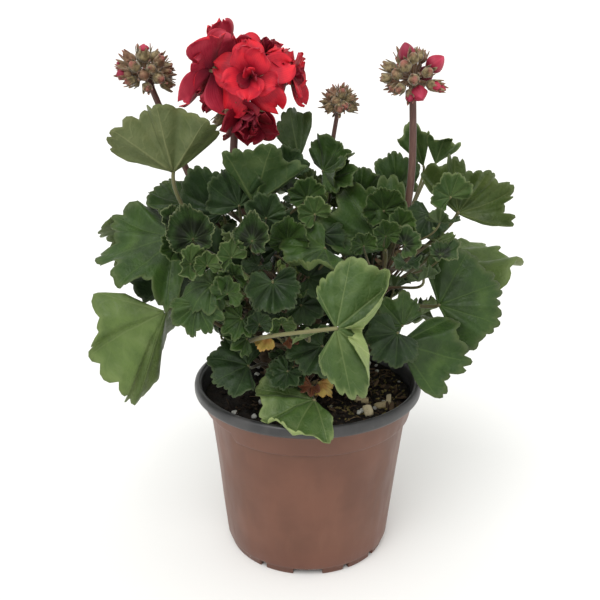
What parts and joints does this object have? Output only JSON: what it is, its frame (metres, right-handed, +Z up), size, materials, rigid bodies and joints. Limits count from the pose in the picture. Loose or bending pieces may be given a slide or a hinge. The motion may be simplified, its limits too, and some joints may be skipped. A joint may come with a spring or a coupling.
{
  "type": "potted pelargonium",
  "caption": "Zonal pelargonium with lobed leaves, an open red flower head and heads of buds, rooted in a round nursery pot.",
  "frame": {"origin": "middle of the pot's foot, on the surface that the pot stands on", "axes": "+Z up along the pot's axis, -Y towards the front of the plant, +X to the viewer's right"},
  "size_m": [0.2479, 0.2023, 0.3007],
  "materials": {
    "pot_plastic": "satin brown plastic, nearly black inside and on the rim",
    "potting_mix": "damp dark peat with bark, wood chips and perlite",
    "woody_stem": "matt brown bark with leaf scars",
    "flower_stalk": "smooth, softly hairy purple-brown skin",
    "buds": "downy brown-olive sepals with pink and red tips",
    "petals": "velvety crimson with fine veins",
    "leaf_green": "soft satin green, paler underneath, with pale veins",
    "leaf_dark": "satin dark green with darker zones",
    "leaf_pale": "satin light green with pale veins"
  },
  "bodies": {
    "root": {"pot": "pot_plastic", "soil": "potting_mix", "stems": "woody_stem", "flower_stalk_open_head": "flower_stalk", "bud_head_left": "buds", "bud_head_middle": "buds", "bud_head_right": "buds", "floret_left": "petals", "floret_left_top": "petals", "floret_top": "petals", "floret_front": "petals", "floret_right": "petals", "floret_hanging": "petals", "floret_back": "petals", "floret_back_low": "petals", "leaf_upper_left": "leaf_green", "leaf_left_large": "leaf_green", "leaf_left_shaded": "leaf_dark", "leaf_left_zoned": "leaf_green", "leaf_left_upright": "leaf_dark", "leaf_left_upright_small": "leaf_dark", "leaf_middle_zoned": "leaf_green", "leaf_front_left_small": "leaf_green", "leaf_front_left_lobed": "leaf_green", "leaf_front_middle_dark": "leaf_dark", "leaf_middle_small": "leaf_green", "leaf_middle_rolled": "leaf_green", "leaf_upper_middle": "leaf_green", "leaf_top_upright": "leaf_dark", "leaf_top_small": "leaf_green", "leaf_middle_large": "leaf_green", "leaf_right_pale": "leaf_pale", "leaf_right_pale_curled": "leaf_pale", "leaf_right_large": "leaf_green", "leaf_right_inner": "leaf_dark", "leaf_right_inner_small": "leaf_green", "leaf_centre_high": "leaf_green", "leaf_centre_right": "leaf_green", "leaf_right_far": "leaf_green", "leaf_right_round": "leaf_green", "leaf_lower_right": "leaf_green", "leaf_lower_right_inner": "leaf_green", "leaf_lower_right_small": "leaf_dark", "leaf_front_folded": "leaf_pale", "leaf_front_shaded": "leaf_dark", "leaf_front_on_rim": "leaf_pale", "leaf_lower_left_small": "leaf_dark", "leaf_young_left": "leaf_green", "leaf_young_right": "leaf_pale", "leaf_left_drooping": "leaf_green", "leaf_front_low": "leaf_dark", "leaf_back_left_high": "leaf_green", "leaf_back_left": "leaf_green", "leaf_back_left_low": "leaf_green", "leaf_back_middle_high": "leaf_green", "leaf_back_middle": "leaf_green", "leaf_back_middle_low": "leaf_green", "leaf_back_right_high": "leaf_green", "leaf_back_right": "leaf_green", "leaf_back_right_low": "leaf_green"}
  },
  "joints": []
}
